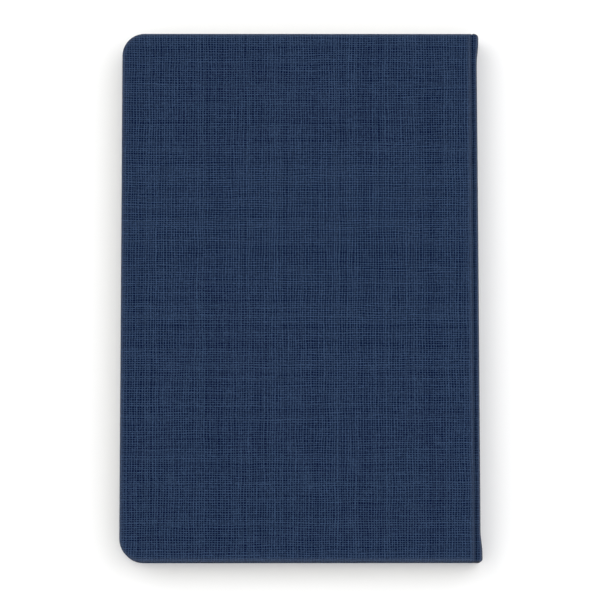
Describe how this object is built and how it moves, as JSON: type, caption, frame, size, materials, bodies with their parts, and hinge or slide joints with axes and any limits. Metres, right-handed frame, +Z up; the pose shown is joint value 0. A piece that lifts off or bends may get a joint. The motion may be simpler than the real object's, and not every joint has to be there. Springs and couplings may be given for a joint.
{
  "type": "pilot logbook",
  "caption": "Casebound pocket logbook in dark linen-look cloth, with rounded fore corners, a flexible square spine and sewn pages.",
  "frame": {"origin": "centre of the book's footprint, on the surface that the closed book lies on, face down", "axes": "+Y towards the head of the book, +X towards the spine, +Z up through the rear cover"},
  "size_m": [0.142, 0.21, 0.015],
  "materials": {
    "linen_cloth": "embossed linen weave, satin",
    "greyboard": "matte pressed fibre board",
    "endpaper": "smooth matte paper",
    "page_paper": "matte writing paper",
    "thread": "waxed linen thread",
    "gauze": "open cotton gauze",
    "kraft_paper": "matte kraft paper",
    "headband": "striped woven cotton"
  },
  "bodies": {
    "front_half": {"signature_01": "page_paper", "signature_02": "page_paper", "signature_03": "page_paper", "signature_04": "page_paper", "signature_05": "page_paper", "signature_06": "page_paper", "sewing_thread_front": "thread", "mull_front": "gauze", "spine_lining_front": "kraft_paper", "headband_head_front": "headband", "headband_tail_front": "headband", "spine_wrap_front": "linen_cloth", "front_joint_strip": "linen_cloth"},
    "front_flyleaf": {"front_flyleaf": "endpaper"},
    "front_cover": {"front_cover_wrap": "linen_cloth", "front_board": "greyboard", "front_pastedown": "endpaper"},
    "rear_half": {"signature_07": "page_paper", "signature_08": "page_paper", "signature_09": "page_paper", "signature_10": "page_paper", "signature_11": "page_paper", "signature_12": "page_paper", "sewing_thread_rear": "thread", "mull_rear": "gauze", "spine_lining_rear": "kraft_paper", "headband_head_rear": "headband", "headband_tail_rear": "headband", "spine_wrap_rear": "linen_cloth", "rear_joint_strip": "linen_cloth"},
    "rear_flyleaf": {"rear_flyleaf": "endpaper"},
    "rear_cover": {"rear_cover_wrap": "linen_cloth", "rear_board": "greyboard", "rear_pastedown": "endpaper"}
  },
  "joints": [
    {"name": "front_flyleaf_turn", "type": "hinge", "parent": "front_half", "child": "front_flyleaf", "pos_m": [0.071, 0, 0.00125], "axis": [0, -1, 0], "range_deg": [0, 180]},
    {"name": "front_cover_open", "type": "hinge", "parent": "front_flyleaf", "child": "front_cover", "pos_m": [0.071, 0, 0.00125], "axis": [0, -1, 0], "range_deg": [0, 180], "deforming": ["front_joint_strip"]},
    {"name": "middle_open", "type": "hinge", "parent": "front_half", "child": "rear_half", "pos_m": [0.07105, 0, 0.0075], "axis": [0, 1, 0], "range_deg": [0, 180]},
    {"name": "rear_flyleaf_turn", "type": "hinge", "parent": "rear_half", "child": "rear_flyleaf", "pos_m": [0.071, 0, 0.01375], "axis": [0, 1, 0], "range_deg": [0, 180]},
    {"name": "rear_cover_open", "type": "hinge", "parent": "rear_flyleaf", "child": "rear_cover", "pos_m": [0.071, 0, 0.01375], "axis": [0, 1, 0], "range_deg": [0, 180], "deforming": ["rear_joint_strip"]}
  ]
}
